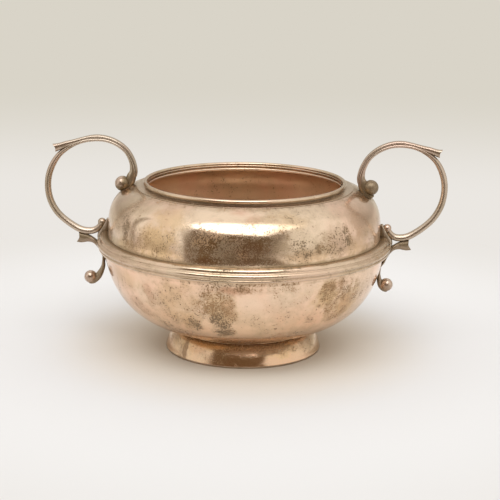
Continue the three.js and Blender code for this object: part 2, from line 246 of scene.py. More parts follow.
# Draws a wire or strip along a path in the XZ plane. The path's points carry their own thickness to
# each side and their own half width.
def makeSweepTree():
    tree, desk, given, groupOut = shapeTree("drawnPiece", [
        ("Steps", "NodeSocketInt", 200),
        ("Sides", "NodeSocketInt", 32),
        ("Face Power", "NodeSocketFloat", 1.0),      # 1 is a round section, 2 a knife-edged one
        ("Side Power", "NodeSocketFloat", 1.0),      # below 1 the section's sides are flatter
        ("End Radius", "NodeSocketFloat", 0.0003),
        ("Fishtail", "NodeSocketFloat", 0.0),        # how far the tips run past the middle of the end
    ])
    line = desk.add("GeometryNodeMeshToCurve", Mesh=given["Guide"])
    curve = desk.add("GeometryNodeCurveSplineType", {"spline_type": "CATMULL_ROM"},
                     Curve=line.outputs[0]).outputs[0]
    grid, row, column = sheet(desk, desk.plus(given["Steps"], 1), desk.plus(given["Sides"], 1))
    # Rings crowd towards both ends, where the ends are rounded off
    ringAngle = desk.times(desk.over(column, given["Steps"]), math.pi)
    share = desk.times(desk.minus(1.0, desk.math("COSINE", ringAngle)), 0.5)

    def sampled(name):
        field = desk.add("GeometryNodeInputNamedAttribute", {"data_type": "FLOAT"}, Name=name).outputs[0]
        return desk.add("GeometryNodeSampleCurve", {"mode": "FACTOR", "data_type": "FLOAT"}, Curves=curve,
                        Value=field, Factor=share).outputs

    outer, inner, half = sampled("outer"), sampled("inner"), sampled("half")
    spot, along = outer["Position"], outer["Tangent"]
    x, _, z = desk.parts(along)
    aside = desk.point(desk.times(z, -1.0), 0.0, x)
    length = desk.add("GeometryNodeCurveLength", Curve=curve).outputs[0]

    def rounded(fromEnd):
        near = desk.math("MINIMUM", desk.over(fromEnd, given["End Radius"]), 1.0)
        short = desk.minus(1.0, near)
        return desk.math("SQRT", desk.minus(1.0, desk.times(short, short)))

    fromStart = desk.times(share, length)
    fromEnd = desk.minus(length, fromStart)
    full = desk.times(rounded(fromStart), rounded(fromEnd))
    angle = desk.times(desk.over(row, given["Sides"]), 2 * math.pi)

    def powered(wave, power):
        size = desk.math("POWER", desk.math("ABSOLUTE", wave), power)
        return desk.times(desk.times(desk.math("SIGN", wave), size), full)

    across = powered(desk.math("COSINE", angle), given["Face Power"])
    beside = powered(desk.math("SINE", angle), given["Side Power"])
    thick = desk.plus(desk.times(desk.most(across, 0.0), outer["Value"]),
                      desk.times(desk.math("MINIMUM", across, 0.0), inner["Value"]))
    # The swallow tail grows over the last stretch, most at the two tips
    tailReach, tipPower = 2.5 * mm, 1.5
    nearEnd = desk.ramp(fromEnd, tailReach, 0.0)
    tip = desk.times(desk.math("POWER", desk.math("ABSOLUTE", across), tipPower), nearEnd)
    forward = desk.scaled(along, desk.times(tip, given["Fishtail"]))
    placed = desk.vector("ADD", desk.vector("ADD", spot, desk.scaled(aside, thick)),
                         desk.vector("ADD", desk.point(y=desk.times(beside, half["Value"])), forward))
    shaped = desk.add("GeometryNodeSetPosition", Geometry=grid, Position=placed)
    finishTree(desk, shaped.outputs[0], given, groupOut)
    return tree


# Sets a cast ball on each point it is given
def makeBallTree():
    tree, desk, given, groupOut = shapeTree("castBall", [("Radius", "NodeSocketFloat", 0.003)])
    ball = desk.add("GeometryNodeMeshUVSphere", Segments=64, Rings=40, Radius=1.0)
    points = desk.add("GeometryNodeMeshToPoints", Mesh=given["Guide"])
    balls = desk.add("GeometryNodeInstanceOnPoints", Points=points.outputs[0], Instance=ball.outputs[0],
                     Scale=given["Radius"])
    real = desk.add("GeometryNodeRealizeInstances", Geometry=balls.outputs[0])
    finishTree(desk, real.outputs[0], given, groupOut)
    return tree


latheTree = makeLatheTree()
sweepTree = makeSweepTree()
ballTree = makeBallTree()
print("geometry trees ready")


def pointMesh(name, points, sizes=None):
    mesh = bpy.data.meshes.new(name)
    edges = [(i, i + 1) for i in range(len(points) - 1)]
    mesh.from_pydata([Vector(point) * mm for point in points], edges, [])
    for key, values in (sizes or {}).items():
        attribute = mesh.attributes.new(key, "FLOAT", "POINT")
        attribute.data.foreach_set("value", [value * mm for value in values])
    return mesh


def runTree(name, tree, guide, values):
    carrier = newObject(name, guide)
    modifier = carrier.modifiers.new("shape", "NODES")
    modifier.node_group = tree
    for item in tree.interface.items_tree:
        if item.in_out == "INPUT" and item.name in values:
            modifier[item.identifier] = values[item.name]
    carrier.update_tag()
    view = bpy.context.evaluated_depsgraph_get()
    mesh = bpy.data.meshes.new_from_object(carrier.evaluated_get(view), depsgraph=view)
    bpy.data.objects.remove(carrier)
    return mesh


def pieceFrom(name, meshes, nodes):
    whole = bmesh.new()
    for mesh in meshes:
        whole.from_mesh(mesh)
    bmesh.ops.recalc_face_normals(whole, faces=whole.faces)
    joined = bpy.data.meshes.new(name)
    whole.to_mesh(joined)
    whole.free()
    for material in meshes[0].materials:
        joined.materials.append(material)
    piece = newObject(name, joined)
    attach(piece, "root")
    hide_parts(*nodes)


# Shader groups that more than one finish uses

speckValues = {
    "clusterScale": 260.0,
    "clusterDrift": 0.5,     # how far the clusters gather the specks
    "bareLevel": 0.69,       # noise above this level is a speck where there is no tarnish
    "fullDrop": 0.26,        # how far full tarnish lowers that level
    "edge": 0.07,
    "amountEdge": (0.0, 0.15),
    "filmEdge": (0.25, 0.60),
}


def makeSpeckGroup(values):
    tree, desk, given, groupOut = newTree("tarnishSpecks", "ShaderNodeTree", [
        ("Vector", "NodeSocketVector", None),
        ("Amount", "NodeSocketFloat", 0.3),
        ("Grain", "NodeSocketFloat", 700.0),
    ], [("Specks", "NodeSocketFloat"), ("Film", "NodeSocketFloat")])
    vector, amount = given["Vector"], given["Amount"]
    fine = desk.noise(vector, given["Grain"], detail=2.0, roughness=0.60)
    clusters = desk.noise(vector, values["clusterScale"], detail=4.0, roughness=0.65)
    drift = desk.times(desk.minus(clusters, 0.5), values["clusterDrift"])
    level = desk.added(values["bareLevel"], amount, -values["fullDrop"])
    specks = desk.ramp(desk.plus(fine, drift), level, desk.plus(level, values["edge"]))
    specks = desk.times(specks, desk.ramp(amount, *values["amountEdge"]))
    film = desk.times(desk.ramp(clusters, *values["filmEdge"]), amount)
    desk.feed(groupOut.inputs["Specks"], specks)
    desk.feed(groupOut.inputs["Film"], film)
    return tree


# Each set of scratches is (turn in radians, how drawn out its lines are)
scratchValues = {"sets": [(0.35, 26.0), (-0.6, 34.0), (1.25, 22.0)], "lineEdge": (0.66, 0.74)}


def makeScratchGroup(values):
    tree, desk, given, groupOut = newTree("wipeScratches", "ShaderNodeTree", [
        ("Vector", "NodeSocketVector", None),
        ("Scale", "NodeSocketFloat", 300.0),
    ], [("Scratches", "NodeSocketFloat")])
    total = 0.0
    for angle, stretch in values["sets"]:
        turned = desk.add("ShaderNodeVectorRotate", {"rotation_type": "EULER_XYZ"},
                          Vector=given["Vector"], Rotation=(angle, 0.4 * angle, angle))
        squeezed = desk.vector("MULTIPLY", turned.outputs[0], (1.0, 1.0, stretch))
        lines = desk.noise(squeezed, given["Scale"], detail=1.0, roughness=0.4)
        total = desk.most(total, desk.ramp(lines, *values["lineEdge"]))
    desk.feed(groupOut.inputs["Scratches"], total)
    return tree


speckGroup = makeSpeckGroup(speckValues)
scratchGroup = makeScratchGroup(scratchValues)


def groupNode(desk, tree, **inputs):
    node = desk.add("ShaderNodeGroup", {"node_tree": tree})
    for name, value in inputs.items():
        desk.feed(node.inputs[name], value)
    return node


# Finishes

silverColours = {
    "clean": (0.86, 0.670, 0.500, 1),       # lightly yellowed silver
    "rosy": (0.86, 0.590, 0.450, 1),
    "olive": (0.66, 0.540, 0.370, 1),
    "golden": (0.72, 0.485, 0.255, 1),      # sulphur bloom
    "copper": (0.56, 0.270, 0.150, 1),      # worn through to the metal below
    "film": (0.36, 0.250, 0.140, 1),        # thin brown tarnish
    "tarnish": (0.165, 0.105, 0.052, 1),
    "rust": (0.370, 0.205, 0.090, 1),       # where the specks are young
    "grime": (0.070, 0.045, 0.020, 1),
}

# How far each finish has aged. Recesses keep a brown film and, deeper in, grime. The reach, in
# millimetres, is how far a recess looks for its other side.
bodyAge = {
    "rosy": 0.80, "olive": 0.20, "film": 0.06, "specks": 0.34, "roughness": 0.08,
    "tarnishRoughness": 0.40, "reach": 3.0, "recessFilm": 0.45, "grime": 0.35, "bump": 0.14, "filmDull": 0.15,
}
trimAge = {
    "rosy": 0.50, "olive": 0.45, "film": 0.22, "specks": 0.35, "roughness": 0.11,
    "tarnishRoughness": 0.40, "reach": 2.0, "recessFilm": 0.50, "grime": 0.70, "bump": 0.12, "filmDull": 0.20,
}
handleAge = {
    "rosy": 0.80, "olive": 0.60, "film": 0.38, "specks": 0.10, "roughness": 0.17,
    "tarnishRoughness": 0.30, "reach": 3.0, "recessFilm": 0.50, "grime": 0.15, "bump": 0.03, "filmDull": 0.25,
}
upperAge = {**bodyAge, "specks": 0.42, "film": 0.10, "olive": 0.35, "innerRoughness": 0.22}
lowerAge = {**bodyAge, "specks": 0.26, "innerRoughness": 0.15}
footAge = {**bodyAge, "roughness": 0.11, "film": 0.08, "recessFilm": 0.10, "grime": 0.0, "filmDull": 0.60}
baseAge = {**trimAge, "film": 0.60, "filmDull": 0.50, "recessFilm": 0.15, "grime": 0.0}
ballAge = {**handleAge, "film": 0.30, "specks": 0.35}
darkBallAge = {**ballAge, "film": 0.90, "filmDull": 0.45}
# Arms and tails get a darker, duller film: painted shade under the loop, with some tarnish
shadedArmAge = {**handleAge, "film": 0.70, "filmDull": 0.55, "roughness": 0.24}


# Ellipses with ragged edges. A blot is [place, height, half width, half height, strength], and sideOf
# gives how far along its half width a point lies. The edge is where it starts and where it is full.
def blotMask(desk, z, blots, sideOf, ragged, edge):
    total = 0.0
    for where, height, wide, tall, strength in blots:
        side = sideOf(where, wide)
        rise = desk.over(desk.minus(z, height * mm), tall * mm)
        far = desk.math("SQRT", desk.plus(desk.times(side, side), desk.times(rise, rise)))
        total = desk.most(total, desk.ramp(desk.plus(far, ragged), *edge, 0.0, strength))
    return total


# Patches are placed and measured in degrees round from the front
def patchMask(desk, place, patches, ragged):
    x, y, z = desk.parts(place)
    angle = desk.math("ARCTAN2", x, desk.times(y, -1.0))

    def sideOf(degrees, wide):
        aside = desk.math("WRAP", desk.minus(angle, math.radians(degrees)), math.pi, -math.pi)
        return desk.over(aside, math.radians(wide))

    return blotMask(desk, z, patches, sideOf, ragged, (1.5, 0.3))


# Painted shade spots, with some tarnish, for the handles' crevices, under the balls and on the arm under the
# loop. They are placed by their distance out from the axis
def shadeSpotMask(desk, place, shadeSpots, ragged):
    x, _, z = desk.parts(place)
    out = desk.math("ABSOLUTE", x)

    def sideOf(spotOut, wide):
        return desk.over(desk.minus(out, spotOut * mm), wide * mm)

    return blotMask(desk, z, shadeSpots, sideOf, desk.times(ragged, 0.25), (1.3, 0.5))


# 1 where the surface faces the axis, as the inside of the bowl does
def innerMask(desk, place):
    x, y, _ = desk.parts(place)
    normalX, normalY, _ = desk.parts(desk.coordinate("Normal"))
    outward = desk.added(desk.times(x, normalX), y, normalY)
    return desk.ramp(outward, -1 * mm, -6 * mm)


# Noise scales are per metre. Each edge is where the noise, or the recess, begins to show something and
# where it shows all of it.
silverValues = {
    "broadScale": 36.0, "secondScale": 48.0, "middleScale": 95.0, "youngScale": 75.0, "fineScale": 2600.0,
    "speckGrain": 1600.0, "scratchScale": 220.0,
    "rosyEdge": (0.42, 0.62), "oliveEdge": (0.46, 0.66), "speckEdge": (0.38, 0.64), "youngEdge": (0.40, 0.62),
    "recessEdge": (0.95, 0.45), "grimeEdge": (0.50, 0.22),
    "raggedness": 3.6,           # of the patches' edges
    "recessRaggedness": 0.06,
    "speckFilm": 0.70, "speckStrength": 0.80,
    "innerSpecks": 0.45,         # share of the specks that the inside keeps
    "middleRoughness": 0.06, "scratchRoughness": 0.05, "filmRoughness": 0.20,
    "dullLoss": 0.65,            # how much less metallic the specks and the grime are
    "fineHeight": 0.25, "speckHeight": 0.8, "scratchHeight": -0.5,
    "bumpDistance": 0.08,
}


def makeSilver(name, age, shift, patches, **ownColours):
    values = silverValues
    colours = {**silverColours, **ownColours}
    material = bpy.data.materials.new(name)
    desk = clearedDesk(material)
    place = desk.coordinate("Object")
    moved = desk.vector("ADD", place, (shift, 0.37 * shift, 0.61 * shift))

    broad = desk.noise(moved, values["broadScale"], detail=3.0, roughness=0.55)
    aside = desk.vector("ADD", moved, (3.1, 1.7, 0.4))
    second = desk.noise(aside, values["secondScale"], detail=3.0, roughness=0.6)
    middle = desk.noise(moved, values["middleScale"], detail=6.0, roughness=0.68)
    ragged = desk.times(desk.minus(middle, 0.5), values["raggedness"])

    def patched(kind):
        return patchMask(desk, place, patches[kind], ragged)

    # Bare metal, from warm white to rosy and olive
    rosy = desk.times(desk.ramp(broad, *values["rosyEdge"]), age["rosy"])
    olive = desk.times(desk.ramp(second, *values["oliveEdge"]), age["olive"])
    colour = desk.mix(rosy, colours["clean"], colours["rosy"])
    colour = desk.mix(olive, colour, colours["olive"])
    for tint in ("golden", "copper"):
        if tint in patches:
            colour = desk.mix(patched(tint), colour, colours[tint])

    # Brown film and dark specks, thickest where the patches are
    amount = desk.times(desk.ramp(second, *values["speckEdge"]), age["specks"])
    if "tarnish" in patches:
        amount = desk.most(amount, patched("tarnish"))
    inner = innerMask(desk, place) if "innerRoughness" in age else 0.0
    amount = desk.times(amount, desk.ramp(inner, 0.0, 1.0, 1.0, values["innerSpecks"]))
    specks = groupNode(desk, speckGroup, Vector=moved, Amount=amount, Grain=values["speckGrain"])
    film = desk.added(age["film"], specks.outputs["Film"], values["speckFilm"], clamp=True)
    if "film" in patches:
        film = desk.most(film, patched("film"))

    # What polishing never reaches, and on the handles painted shade
    shelter = desk.add("ShaderNodeAmbientOcclusion", {"samples": 12}, Distance=age["reach"] * mm)
    closed = desk.added(shelter.outputs["AO"], ragged, values["recessRaggedness"])
    film = desk.plus(film, desk.ramp(closed, *values["recessEdge"], 0.0, age["recessFilm"]), clamp=True)
    # Shade spots darken the handles' film: painted shade in the crevices and under the loop, with some
    # tarnish
    if "shadeSpots" in patches:
        film = desk.most(film, shadeSpotMask(desk, place, patches["shadeSpots"], ragged))
    colour = desk.mix(film, colour, colours["film"])
    tarnish = desk.times(specks.outputs["Specks"], values["speckStrength"])
    young = desk.ramp(desk.noise(moved, values["youngScale"], detail=3.0), *values["youngEdge"])
    colour = desk.mix(tarnish, colour, desk.mix(young, colours["tarnish"], colours["rust"]))
    grime = desk.ramp(closed, *values["grimeEdge"], 0.0, age["grime"])
    colour = desk.mix(grime, colour, colours["grime"])

    scratches = groupNode(desk, scratchGroup, Vector=moved, Scale=values["scratchScale"]).outputs[0]
    fine = desk.noise(moved, values["fineScale"], detail=2.0)
    dull = desk.most(tarnish, grime)
    rough = age["roughness"]
    for cause, share in ((middle, values["middleRoughness"]), (scratches, values["scratchRoughness"]),
                         (inner, age.get("innerRoughness", 0.0)), (film, values["filmRoughness"]),
                         (dull, age["tarnishRoughness"])):
        rough = desk.added(rough, cause, share)
    metal = desk.added(1.0, dull, -values["dullLoss"])
    metal = desk.added(metal, film, -age["filmDull"], clamp=True)
    height = 0.0
    for cause, share in ((fine, values["fineHeight"]), (tarnish, values["speckHeight"]),
                         (scratches, values["scratchHeight"])):
        height = desk.added(height, cause, share)
    bump = desk.add("ShaderNodeBump", Strength=age["bump"], Distance=values["bumpDistance"] * mm,
                    Height=height)

    shader = desk.add("ShaderNodeBsdfPrincipled", Base_Color=colour, Roughness=rough, Metallic=metal,
                      Normal=bump.outputs[0])
    desk.add("ShaderNodeOutputMaterial", Surface=shader.outputs[0])
    return material


# A half width of 900 degrees makes a band all the way round
upperPatches = {
    "tarnish": [
        (-14, 60, 8, 5.5, 0.8), (-6, 57, 7, 8, 0.8), (-17, 54, 5, 4, 0.55), (4, 56, 6, 7, 0.55),
        (11, 54, 5, 5, 0.5), (27, 56, 6, 6, 0.65), (34, 56, 3, 3.5, 0.95), (48.5, 59, 3.5, 5.5, 0.95),
        (41, 57, 6, 4.5, 0.6), (-53, 58, 3, 5, 0.95), (-41, 59, 6, 5, 0.5), (-45, 54, 9, 3.5, 0.6),
        (-40, 71.6, 22, 0.9, 0.4), (12, 71.4, 9, 0.8, 0.55), (55, 61, 6, 4, 0.35), (-22, 69, 4, 3, 0.35),
        (24, 52, 8, 2.5, 0.45), (62, 56, 5, 6, 0.4), (-62, 60, 5, 6, 0.4), (-32, 57, 12, 6, 0.5),
        (0, 71.2, 900, 0.9, 0.55), (-30, 51, 26, 1.6, 0.6), (40, 52, 20, 1.8, 0.55), (160, 60, 50, 7, 0.25),
        (28, 68, 10, 2.5, 0.35), (-43, 57, 12, 5, 0.62), (45, 57, 16, 6, 0.62), (38, 61, 8, 3, 0.5),
    ],
    "film": [
        (17, 58.5, 6, 5.5, 0.75), (-20, 61, 5, 4, 0.55), (-3, 53, 5, 4, 0.65), (8, 54, 6, 6, 0.55),
        (60, 62, 14, 9, 0.45), (-62, 62, 12, 9, 0.4), (42, 60, 9, 5, 0.55), (27, 62, 8, 4, 0.3),
        # The blots at 90 and -90 degrees, height 68, paint the shadow under the upper balls, with tarnish
        # round the joints
        (90, 68, 8, 5, 0.8), (-90, 68, 8, 5, 0.8), (0, 50.3, 900, 1.1, 0.7), (180, 55, 30, 9, 0.2),
        (-44, 56, 12, 5, 0.3), (45, 56, 16, 6, 0.35), (60, 65, 9, 5, 0.35),
    ],
    "golden": [
        (-34, 57, 13, 8, 0.85), (-30, 66, 10, 4, 0.55), (55, 54, 8, 5, 0.6), (-52, 52, 10, 3, 0.5),
        (30, 53, 12, 4, 0.5), (22, 67, 9, 3, 0.35),
    ],
    "copper": [
        (-12, 52, 6, 1.6, 0.55), (7, 57, 5, 5, 0.45), (7, 68, 3, 1.2, 0.35), (0, 70, 5, 0.9, 0.3),
        (57, 61, 4, 5, 0.25), (28, 53, 8, 2.5, 0.25),
    ],
}
lowerPatches = {
    "tarnish": [
        (-8, 38.5, 5, 5, 0.9), (-9, 33, 5, 3.5, 0.95), (-5, 42.5, 5, 1.2, 0.6), (2, 42.3, 4, 1.2, 0.7),
        (-4, 35, 3, 6, 0.6), (-27, 25, 9, 5, 0.75), (-19, 24, 4, 5, 0.85), (-33, 22, 6, 4, 0.65),
        (-7, 27, 5, 6, 0.9), (-5, 20.5, 5, 2.2, 0.95), (3, 41.5, 5, 1.6, 0.8),
        (38, 38, 6, 5, 0.9), (46, 37, 7, 6, 0.95), (42, 31, 6, 5, 0.8), (47, 26, 7, 4, 0.7),
        (55, 34, 5, 5, 0.6), (29, 36, 3, 2.5, 0.5), (35, 32, 1.2, 1.2, 0.9), (33, 26, 4, 4, 0.55),
        (17.5, 22.5, 0.9, 0.8, 0.95), (19, 39, 3, 2, 0.35), (-52, 36, 8, 5, 0.35), (60, 34, 6, 6, 0.35),
        (-22, 33, 5, 3, 0.4), (5, 43.2, 44, 0.7, 0.7), (-28, 38, 12, 5, 0.45), (22, 42, 8, 2, 0.45),
        (150, 35, 40, 9, 0.3), (-38, 33, 9, 6, 0.42), (-47, 27, 8, 5, 0.45), (-17, 30, 6, 4, 0.5),
        (-28, 18, 12, 2.5, 0.55), (22, 18, 14, 2.2, 0.48), (62, 36, 7, 5, 0.52), (14, 41, 12, 1.6, 0.5),
    ],
    "film": [
        (-58, 38, 10, 6, 0.35), (62, 36, 8, 8, 0.35), (0, 12, 900, 5.5, 0.55), (40, 37, 8, 6, 0.3),
        (33, 19, 9, 5, 0.35), (-42, 31, 12, 8, 0.12),
    ],
    "golden": [
        (38, 36, 8, 7, 0.85), (48, 31, 9, 7, 0.85), (-50, 38, 9, 4, 0.45), (-6, 33, 5, 6, 0.6),
        (-25, 36, 8, 8, 0.5), (-24, 26, 8, 6, 0.5),
    ],
    "copper": [
        (-1, 41, 6, 1.7, 0.75), (-38, 36, 2.5, 5, 0.35), (-48, 28, 6, 4, 0.35), (48, 32, 5, 4, 0.3),
        (44, 40, 6, 2.5, 0.4), (-3, 34, 2, 3, 0.35),
    ],
}
footPatches = {
    "tarnish": [
        (10, 7, 40, 1.5, 0.65), (40, 6.6, 14, 2, 0.75), (21, 6.1, 15, 1.2, 0.85), (60, 7, 22, 1.7, 0.55),
        (-60, 6, 16, 2.5, 0.5), (12, 5.6, 14, 0.9, 0.5), (-46, 5, 3, 3.5, 0.75), (150, 6, 60, 2, 0.45),
    ],
    "film": [
        (-46, 5, 2.5, 4, 0.8), (16, 7.4, 38, 1.6, 0.65), (21, 6.1, 15, 1.2, 0.75),
        (60, 7.2, 26, 1.5, 0.5), (4, 6.4, 22, 1, 0.75), (48, 6.2, 14, 1.8, 0.5),
        (180, 7.5, 130, 1.5, 0.4), (0, 8.8, 900, 0.5, 0.35),
    ],
    "golden": [(-20, 7.6, 20, 1.8, 1.0), (34, 6.4, 22, 2.6, 0.7), (-48, 7, 14, 2.5, 0.6)],
    "copper": [(6, 6.4, 20, 1.2, 0.75), (-32, 6, 8, 1.4, 0.35), (26, 7, 7, 1.4, 0.4)],
}
trimPatches = {
    "film": [(0, 50.35, 900, 0.45, 0.9), (0, 46.2, 900, 0.35, 0.55), (0, 44.3, 900, 0.35, 0.6)],
    "tarnish": [(5, 50.3, 60, 0.6, 0.8), (-150, 49, 60, 2, 0.4), (60, 47, 20, 3, 0.4)],
}
# Painted shade on the handles, with some tarnish: dark spots in the crevices, under the balls, along the spur
# and on the arm under the loop
handleShadePatches = {
    "shadeSpots": [
        (61.5, 52, 0.8, 3, 0.8), (69.3, 47.7, 4.8, 1.5, 1.0), (63.6, 47.4, 1.6, 1.2, 0.7),
        (51, 72.5, 2.2, 4, 1.0), (50.6, 75, 1, 2.5, 0.8), (54, 69, 4, 2, 1.0), (77, 86.8, 3.4, 0.8, 0.7),
        (62, 27.8, 2.2, 3, 0.6), (58.6, 33.5, 1, 4, 0.6), (74.5, 52, 3, 1.6, 0.45),
        (85.6, 70, 1.2, 9, 0.35), (66, 91.4, 8, 0.8, 0.35),
    ],
}

upperSilver = makeSilver("upperSilver", upperAge, 1.3, upperPatches)
# The lower bowl's clean and rosy colours are brighter and warmer than the upper's: painted warm light thrown
# up from the floor
lowerSilverWarmLit = makeSilver("lowerSilverWarmLit", lowerAge, 2.7, lowerPatches,
                         clean=(0.98, 0.73, 0.535, 1), rosy=(0.98, 0.65, 0.46, 1))
footSilver = makeSilver("footSilver", footAge, 4.1, footPatches,
                        clean=(0.74, 0.53, 0.34, 1), rosy=(0.76, 0.48, 0.31, 1),
                        film=(0.37, 0.225, 0.115, 1), tarnish=(0.22, 0.13, 0.060, 1))
baseSilver = makeSilver("baseSilver", baseAge, 6.7, {}, film=(0.20, 0.135, 0.075, 1))
trimSilver = makeSilver("trimSilver", trimAge, 5.9, trimPatches, clean=(0.78, 0.61, 0.45, 1))
handleColours = {
    "clean": (0.74, 0.61, 0.49, 1), "rosy": (0.74, 0.53, 0.435, 1), "olive": (0.54, 0.45, 0.32, 1),
    "film": (0.23, 0.165, 0.095, 1),
}
handleSilver = makeSilver("handleSilver", handleAge, 7.7, handleShadePatches, **handleColours)
ballSilver = makeSilver("ballSilver", ballAge, 9.3, handleShadePatches, **handleColours)
darkBallSilver = makeSilver("darkBallSilver", darkBallAge, 9.3, handleShadePatches, **handleColours)
# A darker handle finish for the arms and tails: painted shade under the loops, with some tarnish
shadedArmSilver = makeSilver("shadedArmSilver", shadedArmAge, 8.1, handleShadePatches, **handleColours)
print("finishes ready")


# Turned body. Profiles are [radius, height], all the way round the section.

bodyValues = {
    "wall": 1.0,
    "lowerHalf": {"radius": 61.2, "middle": 63.4, "rise": 55.3, "power": 3.04},
    "upperHalf": {"radius": 58.7, "middle": 47.5, "rise": 26.6, "power": 4.18},
    "turnInHeight": 47.3,
    "shoulderStart": 48.0,
    "segments": 256,
}

seamRadius, _, seamHeight = nodeBox("lower_bowl")[1]
girdleLow = nodeBox("girdle_band")[0][2]
girdleTop = nodeBox("girdle_band")[1][2]
ledgeHeight = nodeBox("upper_shoulder")[1][2]
collarRadius, _, collarTop = nodeBox("neck_collar")[1]
rimRadius, _, rimHeight = nodeBox("rim_wire")[1]
footBulge, _, footTop = nodeBox("spread_foot")[1]
footBase = nodeBox("spread_foot")[0][2]
mouthRadius = 41.8
seatInner, seatOuter = 27.4, 28.6        # of the wire between the bowl and the foot


def quarter(half, inset, fromAngle, toAngle, steps, sign):
    points = []
    for i in range(steps + 1):
        angle = fromAngle + (toAngle - fromAngle) * i / steps
        r = (half["radius"] - inset) * max(0.0, math.cos(angle)) ** (2 / half["power"])
        rise = (half["rise"] - inset) * math.sin(angle) ** (2 / half["power"])
        points.append((r, half["middle"] + sign * rise))
    return points


def radiusOn(half, z):
    share = abs(z - half["middle"]) / half["rise"]
    return half["radius"] * (1 - share ** half["power"]) ** (1 / half["power"])


def lowerHeight(r):
    half = bodyValues["lowerHalf"]
    return half["middle"] - half["rise"] * (1 - (r / half["radius"]) ** half["power"]) ** (1 / half["power"])


def arc(r, z, wide, tall, fromDegrees, toDegrees, steps):
    turns = [math.radians(fromDegrees + (toDegrees - fromDegrees) * i / steps) for i in range(steps + 1)]
    return [(r + wide * math.cos(turn), z + tall * math.sin(turn)) for turn in turns]


# Catmull-Rom curve through the points
def smoothLine(points, steps):
    line = []
    ends = [points[0], *points, points[-1]]
    for a, b, c, d in zip(ends, ends[1:], ends[2:], ends[3:]):
        for i in range(steps):
            t = i / steps
            line.append(tuple(
                0.5 * (2 * b[k] + (c[k] - a[k]) * t + (2 * a[k] - 5 * b[k] + 4 * c[k] - d[k]) * t * t
                       + (3 * b[k] - a[k] - 3 * c[k] + d[k]) * t ** 3) for k in range(2)))
    return [*line, points[-1]]


# Adds points along straight stretches, so that smooth shading stays near the corners
def spaced(profile, gap):
    line = [profile[0]]
    for start, end in zip(profile, profile[1:]):
        count = max(1, math.ceil(math.dist(start, end) / gap))
        line += [(start[0] + (end[0] - start[0]) * i / count, start[1] + (end[1] - start[1]) * i / count)
                 for i in range(1, count + 1)]
    return line


def turnedPiece(name, profile, node, material):
    guide = pointMesh(name, [(r, 0, z) for r, z in profile])
    mesh = runTree(name, latheTree, guide, {"Segments": bodyValues["segments"], "Finish": material})
    pieceFrom(name, [mesh], [node])


def lowerBowlProfile(values):
    half, wall, steps = values["lowerHalf"], values["wall"], 72
    rimAngle = 0.14
    outside = [p for p in quarter(half, 0, math.pi / 2, rimAngle, steps, -1) if p[1] < girdleLow]
    inside = [p for p in quarter(half, wall, rimAngle, math.pi / 2, steps, -1) if p[1] < seamHeight - 0.5]
    return [*outside, (radiusOn(half, girdleLow), girdleLow), (seamRadius, seamHeight),
            (seamRadius - wall, seamHeight), *inside]


def upperShoulderProfile(values):
    half, wall, steps = values["upperHalf"], values["wall"], 60
    startAngle, ledgeAngle = 0.06, 1.2
    outside = [p for p in quarter(half, 0, startAngle, ledgeAngle, steps, 1)
               if values["shoulderStart"] < p[1] < ledgeHeight and p[0] > collarRadius]
    inside = [p for p in quarter(half, wall, ledgeAngle, startAngle, steps, 1)
              if values["shoulderStart"] < p[1] < ledgeHeight - wall]
    flat = spaced([(collarRadius, ledgeHeight), (mouthRadius, ledgeHeight)], 0.6)
    lip = spaced([(mouthRadius, ledgeHeight - wall), inside[0]], 0.6)
    return [(seamRadius - wall, seamHeight), (seamRadius, seamHeight), (seamRadius, values["turnInHeight"]),
            (half["radius"], values["shoulderStart"]), *outside, *flat, *lip, *inside[1:],
            (half["radius"] - wall, values["shoulderStart"] - wall / 2),
            (seamRadius - wall, values["turnInHeight"] - wall / 2), (seamRadius - wall, seamHeight)]


def neckCollarProfile():
    half, throat = 0.13, 43.0
    edge = arc(collarRadius - half, ledgeHeight + half, half, half, -90, 90, 8)
    hollow = smoothLine([(collarRadius - 0.5, ledgeHeight + 0.27), (44.9, 71.53), (43.7, 71.72),
                         (43.05, 71.98), (42.88, 72.22), (throat, collarTop)], 5)
    inner = spaced([(throat, collarTop), (mouthRadius, collarTop), (mouthRadius, ledgeHeight)], 0.4)
    under = spaced([(mouthRadius, ledgeHeight), edge[0]], 0.6)
    return [*edge, *hollow, *inner[1:], *under[1:]]


def rimWireProfile():
    inner, low = mouthRadius + 0.05, collarTop + 0.52
    dome = arc((inner + rimRadius) / 2, low, (rimRadius - inner) / 2, rimHeight - low, -35, 190, 22)
    return [(mouthRadius, collarTop), (mouthRadius + 1.15, collarTop), *dome, (mouthRadius, collarTop)]


# Each reed is [radius of its middle, height, half width, half height]
girdleReeds = [(62.05, 45.32, 0.85, 0.8), (62.3, 47.22, 1.2, 1.12), (60.45, 48.75, 1.72, 1.5)]


def girdleProfile():
    half = bodyValues["lowerHalf"]
    lower = arc(*girdleReeds[0], -78, 48, 14)
    crest = arc(*girdleReeds[1], -46, 66, 18)
    upper = arc(*girdleReeds[2], -12, 92, 16)
    base = bodyValues["upperHalf"]["radius"]
    return [(radiusOn(half, girdleLow), girdleLow), *lower, *crest, *upper, (base, girdleTop - 0.05),
            (base, bodyValues["shoulderStart"]), (seamRadius, bodyValues["turnInHeight"]),
            (seamRadius, seamHeight), (radiusOn(half, girdleLow), girdleLow)]


def footNeckProfile():
    bead = arc(28.5, footTop + 0.4, 1.05, 0.4, -90, 90, 12)
    return [(seatInner, footTop), *bead, (seatOuter, lowerHeight(seatOuter)),
            (seatInner, lowerHeight(seatInner)), (seatInner, footTop)]


